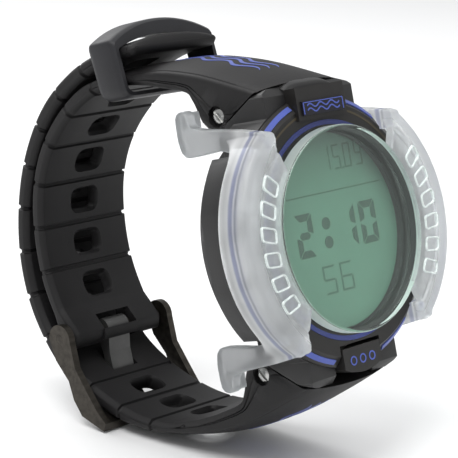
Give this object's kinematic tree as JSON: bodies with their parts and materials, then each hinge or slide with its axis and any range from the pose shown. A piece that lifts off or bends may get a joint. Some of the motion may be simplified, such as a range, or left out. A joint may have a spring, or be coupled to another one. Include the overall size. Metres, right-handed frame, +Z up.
{
  "type": "dive computer",
  "caption": "Wrist dive computer with a round display, one push button, a clip-on clear screen protector and a rubber strap closed by a buckle.",
  "frame": {"origin": "on the surface it stands on, under the middle of the bounding box", "axes": "+X from 9 towards 3 o'clock of the display, +Y towards the buckle, away from the viewer, +Z up; the display faces -Y and tips up by 13.7 degrees"},
  "size_m": [0.0564, 0.0848, 0.082],
  "materials": {
    "case_plastic": "satin, dark grey",
    "bezel_plastic": "satin, near black",
    "accent_blue": "satin blue",
    "badge_black": "glossy black",
    "window_glass": "clear mineral glass",
    "seal_rubber": "matte black",
    "display_blue": "dark blue ring",
    "lcd_face": "green-grey reflective display",
    "white_plastic": "white diffuser",
    "board_green": "green lacquer",
    "brass_parts": "plain",
    "steel_parts": "stainless",
    "clear_plastic": "clear disc, frosted wings",
    "strap_rubber": "matte dark grey",
    "keeper_rubber": "matte bluish grey",
    "buckle_steel": "brushed gunmetal",
    "tongue_steel": "dark brushed steel"
  },
  "bodies": {
    "case": {"case_body": "case_plastic", "bezel_ring": "bezel_plastic", "accent_stripes": "accent_blue", "badge_plate": "badge_black", "window_lens": "window_glass", "lens_gasket": "seal_rubber", "display_ring": "display_blue", "lcd_panel": "lcd_face", "backlight_plate": "white_plastic", "lcd_connectors": "seal_rubber", "circuit_board": "board_green", "buzzer": "brass_parts", "pressure_sensor": "steel_parts", "battery_contact": "steel_parts", "coin_cell": "steel_parts", "case_back": "case_plastic", "back_screws": "steel_parts", "water_contacts": "steel_parts", "button_spring": "steel_parts", "button_o_ring": "seal_rubber", "strap_short": "strap_rubber", "strap_long": "strap_rubber", "strap_pin_top": "steel_parts", "strap_pin_bottom": "steel_parts", "screw_top_left": "steel_parts", "screw_top_right": "steel_parts", "screw_bottom_left": "steel_parts", "screw_bottom_right": "steel_parts", "buckle_pin": "buckle_steel"},
    "button": {"button_cap": "bezel_plastic", "button_stem": "steel_parts"},
    "protector": {"screen_protector": "clear_plastic"},
    "frame": {"buckle_frame": "buckle_steel"},
    "tongue": {"buckle_tongue": "tongue_steel"},
    "keeper": {"strap_keeper": "keeper_rubber"},
    "seal": {"hatch_o_ring": "seal_rubber"},
    "hatch": {"battery_hatch": "bezel_plastic"}
  },
  "joints": [
    {"name": "button_press", "type": "slide", "parent": "case", "child": "button", "axis": [0, 0.2368, 0.9715], "range_m": [0, 0.0005], "stiffness_N_per_m": 1000, "springref_m": -0.0005, "deforming": ["button_spring"]},
    {"name": "protector_pull_off", "type": "slide", "parent": "case", "child": "protector", "axis": [0, -0.9715, 0.2368], "range_m": [0, 0.03]},
    {"name": "frame_hinge", "type": "hinge", "parent": "case", "child": "frame", "pos_m": [0, 0.02688, 0.01665], "axis": [1, 0, 0], "range_deg": [0, 4]},
    {"name": "tongue_hinge", "type": "hinge", "parent": "frame", "child": "tongue", "pos_m": [0, 0.02688, 0.01665], "axis": [1, 0, 0], "range_deg": [0, 3]},
    {"name": "keeper_slide", "type": "slide", "parent": "case", "child": "keeper", "axis": [0, 0.9715, -0.2368], "range_m": [0, 0.004]},
    {"name": "hatch_turn", "type": "hinge", "parent": "case", "child": "seal", "pos_m": [0, -0.02079, 0.04319], "axis": [0, 0.9715, -0.2368], "range_deg": [0, 40]},
    {"name": "hatch_lift", "type": "slide", "parent": "seal", "child": "hatch", "axis": [0, 0.9715, -0.2368], "range_m": [0, 0.008]}
  ]
}
